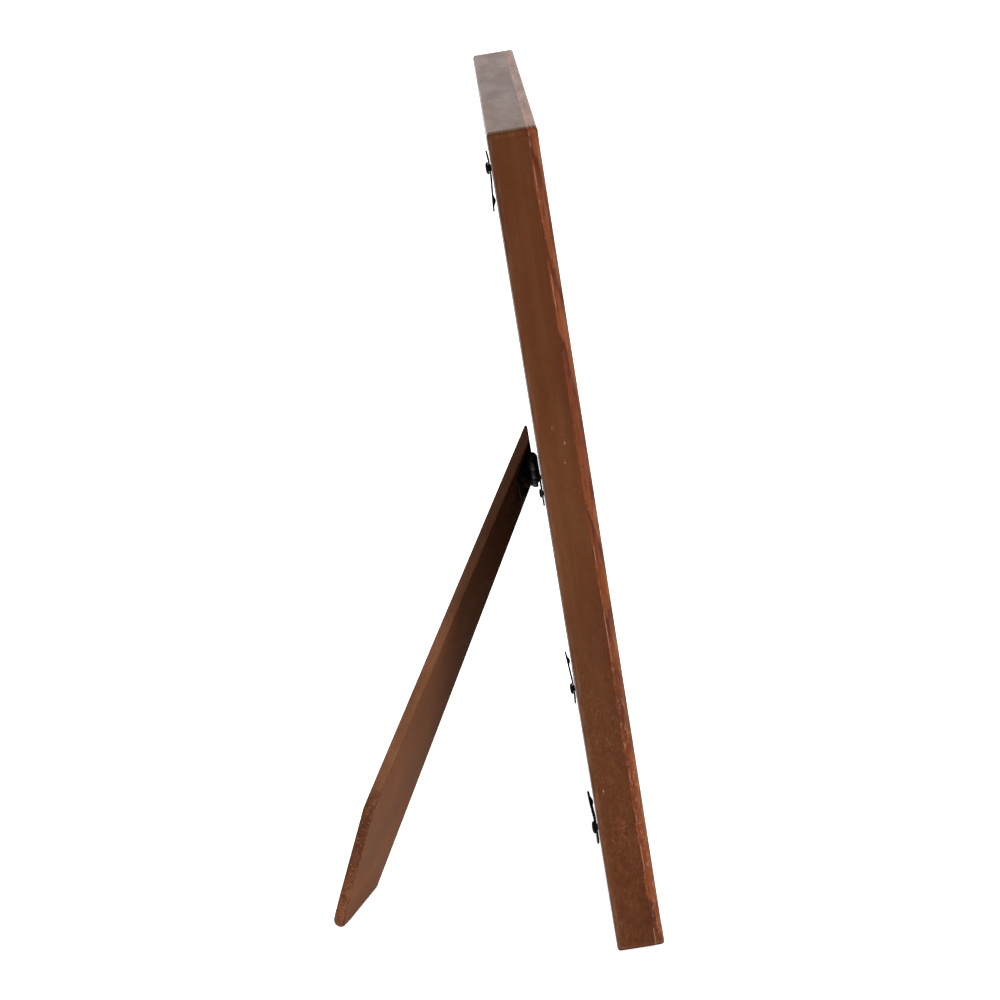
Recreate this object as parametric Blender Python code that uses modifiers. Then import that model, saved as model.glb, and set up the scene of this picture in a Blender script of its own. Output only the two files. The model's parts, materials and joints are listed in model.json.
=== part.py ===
"""Tabletop wooden picture frame held up by a diagonal easel strut.

Four mitred rails with a rebate carry a front layer of wooden strips, a glass pane, a paper sheet
and a backing board. Three turn buttons hold the board in. A hinge in the middle of the board
carries the strut, whose top end is bevelled parallel to the board. The hinge stops the strut when
it is open; the frame then leans back on its lower back edge and on the foot of the strut.

Metres, +Z up, the picture faces -Y. Everything is laid out upright in the panel's own axes (X to
the right, Y towards the back, Z up along the frame, zero at the middle of the lower back edge)
and then leaned back with the empty that all parts hang from.
"""
import math

import bmesh
import bpy
from mathutils import Matrix, Vector

# Frame
FRAME_WIDTH = 0.285
FRAME_HEIGHT = 0.336
CORE_DEPTH = 0.0149
FACE_DEPTH = 0.0038
RAIL_WIDTH = 0.046
REBATE_LAP = 0.006
REBATE_DEPTH = 0.0064
OUTER_ROUND = 0.0010
FACE_ROUND = 0.0012

# Sheets held in the rebate
BOARD_THICKNESS = 0.0030
SHEET_THICKNESS = 0.0005
GLASS_THICKNESS = 0.0020
SHEET_CLEARANCE = 0.0008

# Strut: ALONG runs from the hinge axis to the foot, ACROSS to the frame's right
LEG_SLANT = math.radians(36.8)
LEG_OPENING = math.radians(29.1)
LEG_THICKNESS = 0.0045
LEG_WIDTH_AT_HINGE = 0.0429
LEG_TAPER = 0.140
LEG_SIDE_SHIFT = 0.0011
LEG_TIP_ALONG = 0.2198
LEG_TIP_ACROSS = -0.0020
LEG_LEFT_CORNER_ALONG = 0.1735
LEG_TOP_CLEARANCE = 0.0025
LEG_TOP_BLUNT = 0.0017
LEG_TOP_ROUND = 0.0015
LEG_CORNER_ROUND = 0.0030
LEG_TIP_ROUND = 0.0050

# Hinge
HINGE_LENGTH = 0.030
BARREL_RADIUS = 0.0025
LEAF_THICKNESS = 0.0009
LEAF_REACH = 0.0125
MIDDLE_KNUCKLE = 0.0100
PIN_RADIUS = 0.00105
RIVET_ACROSS = 0.0095
RIVET_ALONG = 0.0078
RIVET_SHANK = 0.0011
RIVET_HEAD = 0.0020
RIVET_HEAD_HEIGHT = 0.0009

# Turn buttons and their screws
BUTTON_INSET = 0.0335
BUTTON_SIDE_INSET = 0.0540
BUTTON_WIDTH = 0.0090
BUTTON_THICKNESS = 0.0008
BUTTON_SHORT_END = 0.0074
BUTTON_SHORT_LIFT = 0.0004
BUTTON_LONG_END = 0.0188
BUTTON_LONG_LIFT = 0.0012
BUTTON_SEAT_END = 0.0030
BUTTON_DIMPLE_AT = 0.0142
BUTTON_DIMPLE_HALF = 0.0020
BUTTON_TURNS = {"top": 180.0, "left": -18.0, "right": 3.0}
SCREW_SHANK = 0.0014
SCREW_HEAD = 0.0027
SCREW_HEAD_HEIGHT = 0.0012
SCREW_DEPTH = 0.0110

# V nails across the mitres
NAIL_WING = 0.0050
NAIL_THICKNESS = 0.0006
NAIL_DEPTH = 0.0080
NAIL_PLACES = (0.012, 0.030)

# Finishes: colour, roughness, metallic, alpha
CORE_WOOD = ((0.165, 0.082, 0.052), 0.55, 0.0, 1.0)
FACE_WOOD = ((0.200, 0.062, 0.035), 0.50, 0.0, 1.0)
LEG_BOARD = ((0.155, 0.078, 0.050), 0.60, 0.0, 1.0)
BACKING = ((0.150, 0.075, 0.050), 0.60, 0.0, 1.0)
PAPER = ((0.800, 0.770, 0.700), 0.90, 0.0, 1.0)
GLASS = ((0.900, 0.930, 0.920), 0.05, 0.0, 0.35)
NAIL_STEEL = ((0.300, 0.300, 0.310), 0.40, 1.0, 1.0)
BLACK_STEEL = ((0.015, 0.015, 0.016), 0.35, 1.0, 1.0)

# Gap between pieces that touch on the real object, and the width for merging points
GAP = 0.0003
MERGE = 0.000001

REBATE_WALL = RAIL_WIDTH - REBATE_LAP
OPEN_WIDTH = FRAME_WIDTH - 2 * REBATE_WALL
FRAME_CENTRE = FRAME_HEIGHT / 2
AXIS_Y = GAP + BARREL_RADIUS
LEG_FACE_Y = BARREL_RADIUS + GAP


def leg_point(across, along):
    """Panel position of a point on the open leg's inner face."""
    spot = Vector((across, LEG_FACE_Y, -along))
    return leg_placement() @ spot


def leg_placement():
    """Matrix from the open leg's axes to the panel's axes."""
    slant = Matrix.Rotation(LEG_SLANT, 4, "Y")
    opening = Matrix.Rotation(LEG_OPENING, 4, "X")
    return Matrix.Translation((0, AXIS_Y, FRAME_CENTRE)) @ slant @ opening


def lean_angle():
    """Lean at which the rounded lower back edge and the foot stand on one floor."""
    foot = leg_point(LEG_TIP_ACROSS, LEG_TIP_ALONG)
    up = foot.z - OUTER_ROUND
    back = -foot.y - OUTER_ROUND
    reach = math.hypot(up, back)
    return math.atan2(back, up) + math.acos(-OUTER_ROUND / reach)


LEAN = lean_angle()


def clear_scene():
    for thing in list(bpy.data.objects):
        bpy.data.objects.remove(thing, do_unlink=True)


def make_collection(name):
    collection = bpy.data.collections.new(name)
    bpy.context.scene.collection.children.link(collection)
    return collection


def make_empty(name, parent=None):
    empty = bpy.data.objects.new(name, None)
    PARTS.objects.link(empty)
    empty.parent = parent
    return empty


def make_material(name, finish):
    colour, roughness, metallic, alpha = finish
    material = bpy.data.materials.new(name)
    material.use_nodes = True
    shader = material.node_tree.nodes["Principled BSDF"]
    shader.inputs["Base Color"].default_value = (*colour, 1.0)
    shader.inputs["Roughness"].default_value = roughness
    shader.inputs["Metallic"].default_value = metallic
    shader.inputs["Alpha"].default_value = alpha
    return material


def add_part(name, mesh, parent, finish):
    """Link a mesh as one named sub-part with a material of its own."""
    part = bpy.data.objects.new(name, mesh)
    PARTS.objects.link(part)
    part.parent = parent
    mesh.materials.clear()
    mesh.materials.append(make_material(name, finish))
    return part


def add_cutter(name, mesh, parent):
    cutter = bpy.data.objects.new(name, mesh)
    CUTTERS.objects.link(cutter)
    cutter.parent = parent
    cutter.hide_render = True
    cutter.display_type = "WIRE"
    return cutter


def combine(part, cutter, operation="DIFFERENCE"):
    boolean = part.modifiers.new(cutter.name, "BOOLEAN")
    boolean.operation = operation
    boolean.solver = "EXACT"
    boolean.object = cutter


def round_marked_edges(part, width):
    bevel = part.modifiers.new("rounding", "BEVEL")
    bevel.limit_method = "WEIGHT"
    bevel.width = width
    bevel.segments = 3


def mesh_from(name, build):
    """New mesh filled by a function that works on a bmesh."""
    shape = bmesh.new()
    build(shape)
    bmesh.ops.recalc_face_normals(shape, faces=shape.faces)
    mesh = bpy.data.meshes.new(name)
    shape.to_mesh(mesh)
    shape.free()
    return mesh


def box_mesh(name, low, high):
    low = Vector(low)
    high = Vector(high)

    def build(shape):
        bmesh.ops.create_cube(shape, size=1.0)
        bmesh.ops.scale(shape, vec=high - low, verts=shape.verts)
        bmesh.ops.translate(shape, vec=(low + high) / 2, verts=shape.verts)

    return mesh_from(name, build)


def rod_mesh(name, radius, start, end, segments=24):
    """Round rod between two points."""
    start = Vector(start)
    run = Vector(end) - start
    turn = run.to_track_quat("Z", "Y").to_matrix().to_4x4()
    place = Matrix.Translation(start + run / 2) @ turn

    def build(shape):
        bmesh.ops.create_cone(shape, cap_ends=True, segments=segments, radius1=radius,
                              radius2=radius, depth=run.length, matrix=place)

    mesh = mesh_from(name, build)
    soften(mesh)
    return mesh


def soften(mesh):
    mesh.shade_smooth()
    mesh.set_sharp_from_angle(angle=math.radians(35))


def evaluated_mesh(guide):
    """Mesh of a guide object with its modifiers applied; the guide is removed."""
    bpy.context.view_layer.update()
    source = guide.evaluated_get(bpy.context.evaluated_depsgraph_get())
    mesh = bpy.data.meshes.new_from_object(source)
    bpy.data.objects.remove(guide, do_unlink=True)
    shape = bmesh.new()
    shape.from_mesh(mesh)
    bmesh.ops.remove_doubles(shape, verts=shape.verts, dist=MERGE)
    bmesh.ops.recalc_face_normals(shape, faces=shape.faces)
    shape.to_mesh(mesh)
    shape.free()
    return mesh


def plate_mesh(name, outlines, low, high, facing):
    """Flat plate from closed outlines, with inner outlines as holes.

    facing "Y" reads an outline as (x, z) and lays the plate between two y values; facing "X"
    reads it as (y, z) and lays it between two x values.
    """
    curve = bpy.data.curves.new(name, "CURVE")
    curve.dimensions = "2D"
    curve.fill_mode = "BOTH"
    curve.extrude = (high - low) / 2
    for outline in outlines:
        spline = curve.splines.new("POLY")
        spline.points.add(len(outline) - 1)
        for point, (first, second) in zip(spline.points, outline):
            point.co = (first, second, 0, 1)
        spline.use_cyclic_u = True
    guide = bpy.data.objects.new(name, curve)
    bpy.context.scene.collection.objects.link(guide)
    mesh = evaluated_mesh(guide)
    middle = (low + high) / 2
    if facing == "Y":
        rows = ((1, 0, 0, 0), (0, 0, -1, middle), (0, 1, 0, 0), (0, 0, 0, 1))
    else:
        rows = ((0, 0, 1, middle), (1, 0, 0, 0), (0, 1, 0, 0), (0, 0, 0, 1))
    mesh.transform(Matrix(rows))
    soften(mesh)
    return mesh


def turned_mesh(name, profile, segments=20):
    """Body turned about Z from (radius, height) points that run down its outer side."""
    mesh = bpy.data.meshes.new(name)
    edges = [(index, index + 1) for index in range(len(profile) - 1)]
    mesh.from_pydata([(radius, 0, height) for radius, height in profile], edges, [])
    guide = bpy.data.objects.new(name, mesh)
    bpy.context.scene.collection.objects.link(guide)
    screw = guide.modifiers.new("turned", "SCREW")
    screw.steps = segments
    screw.render_steps = segments
    screw.use_merge_vertices = True
    screw.merge_threshold = MERGE
    turned = evaluated_mesh(guide)
    soften(turned)
    return turned


def grouped_mesh(name, mesh, placements):
    """Cutter mesh that holds a copy of a solid at each placement."""
    shape = bmesh.new()
    for placement in placements:
        copy = mesh.copy()
        copy.transform(placement)
        shape.from_mesh(copy)
        bpy.data.meshes.remove(copy)
    group = bpy.data.meshes.new(name)
    shape.to_mesh(group)
    shape.free()
    return group


def circle(centre, radius, steps=16):
    turns = [2 * math.pi * step / steps for step in range(steps)]
    return [(centre[0] + radius * math.cos(turn), centre[1] + radius * math.sin(turn)) for turn in turns]


def rounded(corners, radii, steps=4):
    """Closed outline with each corner turned into an arc of its own radius."""
    outline = []
    for index, radius in enumerate(radii):
        corner = Vector(corners[index])
        before = (Vector(corners[index - 1]) - corner).normalized()
        after = (Vector(corners[(index + 1) % len(corners)]) - corner).normalized()
        half = before.angle(after) / 2
        centre = corner + (before + after).normalized() * (radius / math.sin(half))
        first = corner + before * (radius / math.tan(half)) - centre
        last = corner + after * (radius / math.tan(half)) - centre
        start = math.atan2(first.y, first.x)
        sweep = math.remainder(math.atan2(last.y, last.x) - start, 2 * math.pi)
        for step in range(steps + 1):
            turn = start + sweep * step / steps
            outline.append((centre.x + radius * math.cos(turn), centre.y + radius * math.sin(turn)))
    return outline


def mitred_mesh(name, length, front, back, rounded_side):
    """Rail with its outer edge on z = 0, mitred at 45 degrees at both ends.

    The outer edge at y = rounded_side is marked for rounding.
    """
    half = length / 2 - GAP / math.sqrt(2)

    def build(shape):
        bmesh.ops.create_cube(shape, size=1.0)
        weight = shape.edges.layers.float.new("bevel_weight_edge")
        for vert in shape.verts:
            inner = vert.co.z > 0
            side = math.copysign(1, vert.co.x)
            vert.co.x = side * (half - RAIL_WIDTH if inner else half)
            vert.co.y = back if vert.co.y > 0 else front
            vert.co.z = RAIL_WIDTH if inner else 0
        for edge in shape.edges:
            ends = [vert.co for vert in edge.verts]
            if all(end.z == 0 and end.y == rounded_side for end in ends):
                edge[weight] = 1.0

    return mesh_from(name, build)


def rail_sides():
    """Name, length, turn about Y and middle of the outer edge of each side of the frame."""
    half = FRAME_WIDTH / 2
    return (
        ("bottom", FRAME_WIDTH, 0, (0, 0, 0)),
        ("left", FRAME_HEIGHT, 90, (-half, 0, FRAME_CENTRE)),
        ("top", FRAME_WIDTH, 180, (0, 0, FRAME_HEIGHT)),
        ("right", FRAME_HEIGHT, -90, (half, 0, FRAME_CENTRE)),
    )


def nail_outline(growth):
    """V in the back plane, wings along +x and +z, grown all round by a gap."""
    arm = NAIL_WING + growth
    half = NAIL_THICKNESS / 2 + growth
    return [(-half, -half), (arm, -half), (arm, half), (half, half), (half, arm), (-half, arm)]


def nail_places():
    """Name, position and turn about Y of each V nail: two on every mitre."""
    places = []
    corners = (("bottom_left", -1, -1, 0), ("top_left", -1, 1, 90),
               ("top_right", 1, 1, 180), ("bottom_right", 1, -1, -90))
    for corner, across, up, turn in corners:
        for depth, inset in zip(("outer", "inner"), NAIL_PLACES):
            aside = across * (FRAME_WIDTH / 2 - inset)
            height = FRAME_CENTRE + up * (FRAME_CENTRE - inset)
            places.append((f"{corner}_{depth}", Vector((aside, 0, height)), math.radians(turn)))
    return places


def nail_mesh(name, growth):
    front = -NAIL_DEPTH - growth
    back = -GAP + growth
    return plate_mesh(name, [nail_outline(growth)], front, back, "Y")


def button_places():
    """Name, screw position on the back and turn of each button."""
    side = FRAME_WIDTH / 2 - BUTTON_SIDE_INSET
    return (
        ("top", (0, 0, FRAME_HEIGHT - BUTTON_INSET)),
        ("left", (-side, 0, BUTTON_INSET)),
        ("right", (side, 0, BUTTON_INSET)),
    )


def build_rails(panel):
    """Brown core rails with the rebate, the nail slots and the pilot holes cut in."""
    half_open = OPEN_WIDTH / 2
    recess = box_mesh("rebate_cutter", (-half_open, -REBATE_DEPTH, REBATE_WALL),
                      (half_open, 2 * REBATE_DEPTH, FRAME_HEIGHT - REBATE_WALL))
    rebate = add_cutter("rebate_cutter", recess, panel)
    places = [Matrix.Translation(spot) @ Matrix.Rotation(turn, 4, "Y") for _, spot, turn in nail_places()]
    slot = nail_mesh("nail_slot", 2 * GAP)
    slots = add_cutter("nail_slot_cutter", grouped_mesh("nail_slot_cutter", slot, places), panel)
    hole = rod_mesh("pilot_hole", SCREW_SHANK + GAP, (0, -SCREW_DEPTH - GAP, 0), (0, BUTTON_INSET, 0))
    spots = [Matrix.Translation(spot) for _, spot in button_places()]
    pilots = add_cutter("pilot_hole_cutter", grouped_mesh("pilot_hole_cutter", hole, spots), panel)
    for side, length, turn, middle in rail_sides():
        mesh = mitred_mesh("base_rail_" + side, length, -CORE_DEPTH, 0, 0)
        rail = add_part("base_rail_" + side, mesh, panel, CORE_WOOD)
        rail.location = middle
        rail.rotation_euler.y = math.radians(turn)
        round_marked_edges(rail, OUTER_ROUND)
        combine(rail, rebate)
        combine(rail, slots)
        if side in ("top", "bottom"):
            combine(rail, pilots)


def build_face_strips(panel):
    back = -CORE_DEPTH - GAP
    front = back - FACE_DEPTH
    for side, length, turn, middle in rail_sides():
        mesh = mitred_mesh("face_strip_" + side, length, front, back, front)
        strip = add_part("face_strip_" + side, mesh, panel, FACE_WOOD)
        strip.location = middle
        strip.rotation_euler.y = math.radians(turn)
        round_marked_edges(strip, FACE_ROUND)


def rivet_spots():
    return [(-RIVET_ACROSS, -RIVET_ALONG), (RIVET_ACROSS, -RIVET_ALONG)]


def build_sheets(panel, hinge_frame):
    """Backing board, paper sheet and glass, from the back to the front of the rebate."""
    half = OPEN_WIDTH / 2 - SHEET_CLEARANCE
    low = REBATE_WALL + SHEET_CLEARANCE
    high = FRAME_HEIGHT - REBATE_WALL - SHEET_CLEARANCE
    layers = (
        ("backing_board", BOARD_THICKNESS, BACKING),
        ("insert_sheet", SHEET_THICKNESS, PAPER),
        ("glass_pane", GLASS_THICKNESS, GLASS),
    )
    back = 0
    for name, thickness, finish in layers:
        mesh = box_mesh(name, (-half, back - thickness, low), (half, back, high))
        sheet = add_part(name, mesh, panel, finish)
        back -= thickness + GAP
        if name == "backing_board":
            hole = rod_mesh("rivet_hole", RIVET_SHANK + GAP, (0, -0.01, 0), (0, 0.01, 0), 16)
            spots = [Matrix.Translation((x, 0, z)) for x, z in rivet_spots()]
            group = grouped_mesh("rivet_hole_cutter", hole, spots)
            combine(sheet, add_cutter("rivet_hole_cutter", group, hinge_frame))


def build_nails(panel):
    for place, spot, turn in nail_places():
        name = "v_nail_" + place
        nail = add_part(name, nail_mesh(name, 0), panel, NAIL_STEEL)
        nail.location = spot
        nail.rotation_euler.y = turn


def leaf_mesh(name, middle, plate_y):
    """Hinge leaf: a plate with its knuckles, before the bore is cut.

    The leaf with the middle knuckle is cut back beside it; the other is cut back between its two.
    """
    half = HINGE_LENGTH / 2
    notch = MIDDLE_KNUCKLE / 2
    shoulder = -BARREL_RADIUS - 2 * GAP
    if middle:
        inner = notch - GAP / 2
        corners = [(-half, -LEAF_REACH), (half, -LEAF_REACH), (half, shoulder), (inner, shoulder),
                   (inner, 0), (-inner, 0), (-inner, shoulder), (-half, shoulder)]
    else:
        inner = notch + GAP / 2
        corners = [(-half, -LEAF_REACH), (half, -LEAF_REACH), (half, 0), (inner, 0),
                   (inner, shoulder), (-inner, shoulder), (-inner, 0), (-half, 0)]
    holes = [circle(spot, RIVET_SHANK + GAP) for spot in rivet_spots()]
    low = min(plate_y)
    high = max(plate_y)
    return plate_mesh(name, [corners, *holes], low, high, "Y")


def build_leaf(name, parent, middle, plate_y):
    leaf = add_part(name, leaf_mesh(name, middle, plate_y), parent, BLACK_STEEL)
    half = HINGE_LENGTH / 2
    notch = MIDDLE_KNUCKLE / 2
    if middle:
        spans = [(-notch + GAP / 2, notch - GAP / 2)]
    else:
        spans = [(-half, -notch - GAP / 2), (notch + GAP / 2, half)]
    for index, (start, end) in enumerate(spans):
        mesh = rod_mesh(name + "_knuckle", BARREL_RADIUS, (start, 0, 0), (end, 0, 0))
        knuckle = add_cutter(f"{name}_knuckle_{index}", mesh, parent)
        combine(leaf, knuckle, "UNION")
    bore = rod_mesh(name + "_bore", PIN_RADIUS + GAP, (-HINGE_LENGTH, 0, 0), (HINGE_LENGTH, 0, 0))
    combine(leaf, add_cutter(name + "_bore", bore, parent))


def rivet_mesh(name, shank_length, tail):
    """Rivet with its head from z = 0 up, and a formed tail where the far side is open."""
    head = [(0, RIVET_HEAD_HEIGHT), (0.6 * RIVET_HEAD, 0.85 * RIVET_HEAD_HEIGHT),
            (RIVET_HEAD, 0.4 * RIVET_HEAD_HEIGHT), (RIVET_HEAD, 0), (RIVET_SHANK, 0)]
    foot = [(RIVET_SHANK, -shank_length), (0, -shank_length)]
    if tail:
        far = -shank_length
        foot = [(RIVET_SHANK, far), (0.9 * RIVET_HEAD, far),
                (0.6 * RIVET_HEAD, far - 0.8 * RIVET_HEAD_HEIGHT), (0, far - RIVET_HEAD_HEIGHT)]
    return turned_mesh(name, head + foot)


def build_rivets(hinge_frame, leg_frame):
    """Two rivets through each leaf; heads face each other across the folded hinge."""
    back_face = -BARREL_RADIUS + LEAF_THICKNESS + GAP
    through_board = LEAF_THICKNESS + 2 * GAP + BOARD_THICKNESS - GAP
    through_leg = LEAF_THICKNESS + 3 * GAP + LEG_THICKNESS
    rows = (
        ("board_rivet", hinge_frame, back_face, -90, through_board, False),
        ("leg_rivet", leg_frame, -back_face, 90, through_leg, True),
    )
    for kind, parent, seat, turn, reach, tail in rows:
        for side, (across, along) in zip(("left", "right"), rivet_spots()):
            name = f"{kind}_{side}"
            rivet = add_part(name, rivet_mesh(name, reach, tail), parent, BLACK_STEEL)
            rivet.location = (across, seat, along)
            rivet.rotation_euler.x = math.radians(turn)


def build_hinge(hinge_frame, leg_frame):
    plate = (-BARREL_RADIUS, -BARREL_RADIUS + LEAF_THICKNESS)
    build_leaf("hinge_leaf_board", hinge_frame, False, plate)
    build_leaf("hinge_leaf_leg", leg_frame, True, [-side for side in plate])
    end = HINGE_LENGTH / 2 + GAP
    pin = rod_mesh("hinge_pin", PIN_RADIUS, (-end, 0, 0), (end, 0, 0))
    add_part("hinge_pin", pin, hinge_frame, BLACK_STEEL)


def leg_side(side, along):
    """Distance across from the hinge's middle to the leg's left (-1) or right (1) edge."""
    return LEG_SIDE_SHIFT + side * (LEG_WIDTH_AT_HINGE + LEG_TAPER * along) / 2


def leg_outline():
    """Tapered board; its right-hand foot cut lies flat on the floor when the leg is open."""
    # the outer face runs up to just short of the bevel's sharp edge
    outer_face = AXIS_Y + (LEG_FACE_Y + LEG_THICKNESS) * math.cos(LEG_OPENING)
    top = (outer_face - LEG_TOP_CLEARANCE) / math.sin(LEG_OPENING) - LEG_TOP_BLUNT
    tip = (LEG_TIP_ACROSS, LEG_TIP_ALONG)
    # the floor crosses the leg's inner face along a line with this slope
    lean = Matrix.Rotation(-LEAN, 4, "X")
    origin = lean @ leg_point(0, 0)
    rise_across = (lean @ leg_point(1, 0)).z - origin.z
    rise_along = (lean @ leg_point(0, 1)).z - origin.z
    slope = -rise_across / rise_along
    # where that line meets the right-hand side of the tapered board
    edge = (leg_side(1, tip[1] - slope * tip[0])) / (1 - LEG_TAPER * slope / 2)
    right = (edge, tip[1] + slope * (edge - tip[0]))
    left = (leg_side(-1, LEG_LEFT_CORNER_ALONG), LEG_LEFT_CORNER_ALONG)
    corners = [(leg_side(-1, -top), -top), left, tip, right, (leg_side(1, -top), -top)]
    radii = [LEG_TOP_ROUND, LEG_CORNER_ROUND, LEG_TIP_ROUND, LEG_CORNER_ROUND, LEG_TOP_ROUND]
    flipped = [(across, -along) for across, along in corners]
    return rounded(flipped, radii)


def build_leg(panel, leg_frame):
    """Strut; its top end is cut off parallel to the back of the frame, as it stands open."""
    holes = [circle(spot, RIVET_SHANK + GAP) for spot in rivet_spots()]
    near = LEG_FACE_Y
    mesh = plate_mesh("support_leg", [leg_outline(), *holes], near, near + LEG_THICKNESS, "Y")
    leg = add_part("support_leg", mesh, leg_frame, LEG_BOARD)
    side = LEG_WIDTH_AT_HINGE
    bevel = box_mesh("leg_top_cutter", (-side, -side, FRAME_CENTRE - side),
                     (side, LEG_TOP_CLEARANCE, FRAME_CENTRE + side))
    combine(leg, add_cutter("leg_top_cutter", bevel, panel))


def button_profile():
    """Side view of the bent strip as (y, z): flat under the screw, rising towards both ends."""
    seat = BUTTON_SEAT_END
    rise = BUTTON_LONG_LIFT / (BUTTON_LONG_END - seat)
    start = BUTTON_DIMPLE_AT - BUTTON_DIMPLE_HALF
    end = BUTTON_DIMPLE_AT + BUTTON_DIMPLE_HALF
    under = [(-BUTTON_SHORT_END, BUTTON_SHORT_LIFT), (-seat, 0), (seat, 0),
             (start, rise * (start - seat)), (BUTTON_DIMPLE_AT, 0), (end, rise * (end - seat)),
             (BUTTON_LONG_END, BUTTON_LONG_LIFT)]
    lower = [(GAP + height, along) for along, height in under]
    upper = [(GAP + BUTTON_THICKNESS + height, along) for along, height in reversed(under)]
    return lower + upper


def button_plan():
    """Rounded plan outline of a turn button with its screw hole."""
    half = BUTTON_WIDTH / 2
    corners = [(-half, -BUTTON_SHORT_END), (half, -BUTTON_SHORT_END),
               (0.8 * half, BUTTON_LONG_END), (-0.8 * half, BUTTON_LONG_END)]
    radii = [0.85 * half, 0.85 * half, 0.7 * half, 0.7 * half]
    return [rounded(corners, radii), circle((0, 0), SCREW_SHANK + GAP)]


def build_buttons(panel):
    """Turn buttons on pivots of their own, and the screws that they swivel on."""
    half = BUTTON_WIDTH
    for name, spot in button_places():
        pivot = make_empty("turn_pivot_" + name, panel)
        pivot.location = spot
        pivot.rotation_euler.y = math.radians(BUTTON_TURNS[name])
        strip = plate_mesh("turn_button_" + name, [button_profile()], -half, half, "X")
        button = add_part("turn_button_" + name, strip, pivot, BLACK_STEEL)
        plan = plate_mesh("button_plan_" + name, button_plan(), -2 * half, 2 * half, "Y")
        combine(button, add_cutter("button_plan_" + name, plan, pivot), "INTERSECT")
    seat = 2 * GAP + BUTTON_THICKNESS
    head = [(0, SCREW_HEAD_HEIGHT), (0.55 * SCREW_HEAD, 0.9 * SCREW_HEAD_HEIGHT),
            (SCREW_HEAD, 0.35 * SCREW_HEAD_HEIGHT), (SCREW_HEAD, 0), (SCREW_SHANK, 0)]
    shank = [(SCREW_SHANK, -seat - 0.8 * SCREW_DEPTH), (0, -seat - SCREW_DEPTH)]
    for place, (across, _, height) in button_places():
        name = "button_screw_" + place
        screw = add_part(name, turned_mesh(name, head + shank), panel, BLACK_STEEL)
        screw.location = (across, seat, height)
        screw.rotation_euler.x = math.radians(-90)


def stand_on_origin(panel):
    """Move the leaned panel so that its box stands on the origin, centred."""
    bpy.context.view_layer.update()
    graph = bpy.context.evaluated_depsgraph_get()
    corners = []
    for part in PARTS.objects:
        if part.type == "MESH":
            solid = part.evaluated_get(graph)
            corners += [solid.matrix_world @ vert.co for vert in solid.data.vertices]
    lows = [min(corner[axis] for corner in corners) for axis in range(3)]
    highs = [max(corner[axis] for corner in corners) for axis in range(3)]
    middle = [(low + high) / 2 for low, high in zip(lows, highs)]
    panel.location = (-middle[0], -middle[1], -lows[2])


clear_scene()
PARTS = make_collection("easel_back_picture_frame")
CUTTERS = make_collection("cutters")
PANEL = make_empty("panel_frame")
PANEL.rotation_euler.x = -LEAN
HINGE_FRAME = make_empty("hinge_frame", PANEL)
HINGE_FRAME.location = (0, AXIS_Y, FRAME_CENTRE)
HINGE_FRAME.rotation_euler.y = LEG_SLANT
LEG_FRAME = make_empty("leg_frame", HINGE_FRAME)
LEG_FRAME.rotation_euler.x = LEG_OPENING

build_rails(PANEL)
build_face_strips(PANEL)
build_sheets(PANEL, HINGE_FRAME)
build_nails(PANEL)
build_hinge(HINGE_FRAME, LEG_FRAME)
build_rivets(HINGE_FRAME, LEG_FRAME)
build_leg(PANEL, LEG_FRAME)
build_buttons(PANEL)
stand_on_origin(PANEL)
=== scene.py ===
"""Looks of the tabletop wooden picture frame with a diagonal easel strut.

Every piece is built in the axes of what it belongs to (a side of the frame, the panel, the hinge,
the open strut or a turn button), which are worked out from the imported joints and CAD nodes.
Metres throughout; in a flat outline a third number is the wear along that corner, from 0 to 1.
"""

import json
import math

import bmesh
import bpy
from mathutils import Matrix, Vector, noise
from mathutils.geometry import intersect_line_line


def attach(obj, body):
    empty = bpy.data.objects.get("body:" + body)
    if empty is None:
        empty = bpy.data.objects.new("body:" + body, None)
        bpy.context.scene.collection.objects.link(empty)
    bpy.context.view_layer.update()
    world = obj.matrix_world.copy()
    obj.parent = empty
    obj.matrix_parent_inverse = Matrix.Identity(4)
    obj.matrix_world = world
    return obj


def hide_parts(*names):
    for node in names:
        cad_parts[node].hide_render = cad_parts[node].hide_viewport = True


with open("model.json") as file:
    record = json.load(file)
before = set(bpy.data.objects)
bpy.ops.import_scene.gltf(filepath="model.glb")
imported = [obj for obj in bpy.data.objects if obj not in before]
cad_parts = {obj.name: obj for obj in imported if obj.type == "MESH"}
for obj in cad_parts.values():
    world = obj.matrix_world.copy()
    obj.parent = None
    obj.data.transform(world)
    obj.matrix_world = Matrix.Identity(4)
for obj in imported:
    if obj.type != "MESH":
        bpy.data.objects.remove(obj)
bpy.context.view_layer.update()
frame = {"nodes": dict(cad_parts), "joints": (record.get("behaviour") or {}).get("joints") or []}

# Frame mouldings; the joint is the glued line between the brown core and the red strip, which
# overlap a little there so that no light comes through
SIDES = ("bottom", "left", "top", "right")
REBATE_WALL = 0.0400
REBATE_DEPTH = 0.0064
CORNER_ROUND = 0.0026
CORNER_WEAR = 0.5
BACK_ROUND = 0.0011
FRONT_ROUND = 0.0013
SIGHT_ROUND = 0.0010
ARRIS = 0.0003
JOINT_ARRIS = 0.00005
JOINT_OVERLAP = 0.00001
JOINT_DEPTH = -0.0149
JOINT_SWAY = 0.0030
JOINT_BLUR = 0.00012
WEAR_REACH = 0.0012
NEAR_MITRE = 0.985

# V nails
NAIL_THICKNESS = 0.0006
NAIL_TOP = 0.00004
NAIL_SHOULDER = -0.0002

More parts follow.
